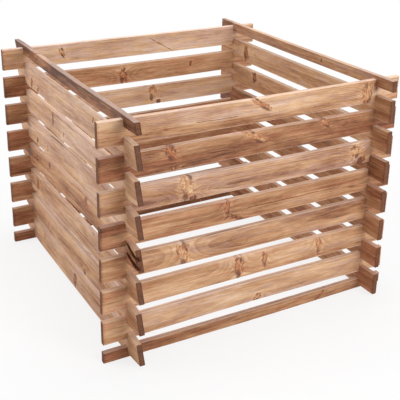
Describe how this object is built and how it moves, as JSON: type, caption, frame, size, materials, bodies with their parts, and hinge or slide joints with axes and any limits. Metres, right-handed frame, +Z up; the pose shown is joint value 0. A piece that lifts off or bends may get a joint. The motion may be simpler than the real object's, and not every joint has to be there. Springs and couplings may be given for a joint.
{
  "type": "wooden composter",
  "caption": "Square open-topped garden compost bin of notched horizontal pine boards that interlock like log-cabin corners, with air gaps between the boards.",
  "frame": {"origin": "centre of the square footprint, on the ground", "axes": "+Z up; -Y faces the front of the picture, +X to the right along the front wall"},
  "size_m": [1, 1, 0.733],
  "materials": {
    "impregnated_pine": "planed, brown pressure-impregnated, matt"
  },
  "bodies": {
    "foot_course": {"front_half_board": "impregnated_pine", "back_half_board": "impregnated_pine"},
    "side_course_1": {"left_board_1": "impregnated_pine", "right_board_1": "impregnated_pine"},
    "end_course_1": {"front_board_1": "impregnated_pine", "back_board_1": "impregnated_pine"},
    "side_course_2": {"left_board_2": "impregnated_pine", "right_board_2": "impregnated_pine"},
    "end_course_2": {"front_board_2": "impregnated_pine", "back_board_2": "impregnated_pine"},
    "side_course_3": {"left_board_3": "impregnated_pine", "right_board_3": "impregnated_pine"},
    "end_course_3": {"front_board_3": "impregnated_pine", "back_board_3": "impregnated_pine"},
    "side_course_4": {"left_board_4": "impregnated_pine", "right_board_4": "impregnated_pine"},
    "end_course_4": {"front_board_4": "impregnated_pine", "back_board_4": "impregnated_pine"},
    "side_course_5": {"left_board_5": "impregnated_pine", "right_board_5": "impregnated_pine"},
    "end_course_5": {"front_board_5": "impregnated_pine", "back_board_5": "impregnated_pine"},
    "side_course_6": {"left_board_6": "impregnated_pine", "right_board_6": "impregnated_pine"},
    "end_course_6": {"front_board_6": "impregnated_pine", "back_board_6": "impregnated_pine"},
    "side_course_7": {"left_board_7": "impregnated_pine", "right_board_7": "impregnated_pine"},
    "end_course_7": {"front_board_7": "impregnated_pine", "back_board_7": "impregnated_pine"},
    "left_cap": {"left_half_board": "impregnated_pine"},
    "right_cap": {"right_half_board": "impregnated_pine"}
  },
  "joints": [
    {"name": "side_course_1_lift", "type": "slide", "parent": "foot_course", "child": "side_course_1", "axis": [0, 0, 1], "range_m": [0, 0.04]},
    {"name": "end_course_1_lift", "type": "slide", "parent": "side_course_1", "child": "end_course_1", "axis": [0, 0, 1], "range_m": [0, 0.04]},
    {"name": "side_course_2_lift", "type": "slide", "parent": "end_course_1", "child": "side_course_2", "axis": [0, 0, 1], "range_m": [0, 0.04]},
    {"name": "end_course_2_lift", "type": "slide", "parent": "side_course_2", "child": "end_course_2", "axis": [0, 0, 1], "range_m": [0, 0.04]},
    {"name": "side_course_3_lift", "type": "slide", "parent": "end_course_2", "child": "side_course_3", "axis": [0, 0, 1], "range_m": [0, 0.04]},
    {"name": "end_course_3_lift", "type": "slide", "parent": "side_course_3", "child": "end_course_3", "axis": [0, 0, 1], "range_m": [0, 0.04]},
    {"name": "side_course_4_lift", "type": "slide", "parent": "end_course_3", "child": "side_course_4", "axis": [0, 0, 1], "range_m": [0, 0.04]},
    {"name": "end_course_4_lift", "type": "slide", "parent": "side_course_4", "child": "end_course_4", "axis": [0, 0, 1], "range_m": [0, 0.04]},
    {"name": "side_course_5_lift", "type": "slide", "parent": "end_course_4", "child": "side_course_5", "axis": [0, 0, 1], "range_m": [0, 0.04]},
    {"name": "end_course_5_lift", "type": "slide", "parent": "side_course_5", "child": "end_course_5", "axis": [0, 0, 1], "range_m": [0, 0.04]},
    {"name": "side_course_6_lift", "type": "slide", "parent": "end_course_5", "child": "side_course_6", "axis": [0, 0, 1], "range_m": [0, 0.04]},
    {"name": "end_course_6_lift", "type": "slide", "parent": "side_course_6", "child": "end_course_6", "axis": [0, 0, 1], "range_m": [0, 0.04]},
    {"name": "side_course_7_lift", "type": "slide", "parent": "end_course_6", "child": "side_course_7", "axis": [0, 0, 1], "range_m": [0, 0.04]},
    {"name": "end_course_7_lift", "type": "slide", "parent": "side_course_7", "child": "end_course_7", "axis": [0, 0, 1], "range_m": [0, 0.04]},
    {"name": "left_cap_lift", "type": "slide", "parent": "end_course_7", "child": "left_cap", "axis": [0, 0, 1], "range_m": [0, 0.04]},
    {"name": "right_cap_lift", "type": "slide", "parent": "end_course_7", "child": "right_cap", "axis": [0, 0, 1], "range_m": [0, 0.04]}
  ]
}
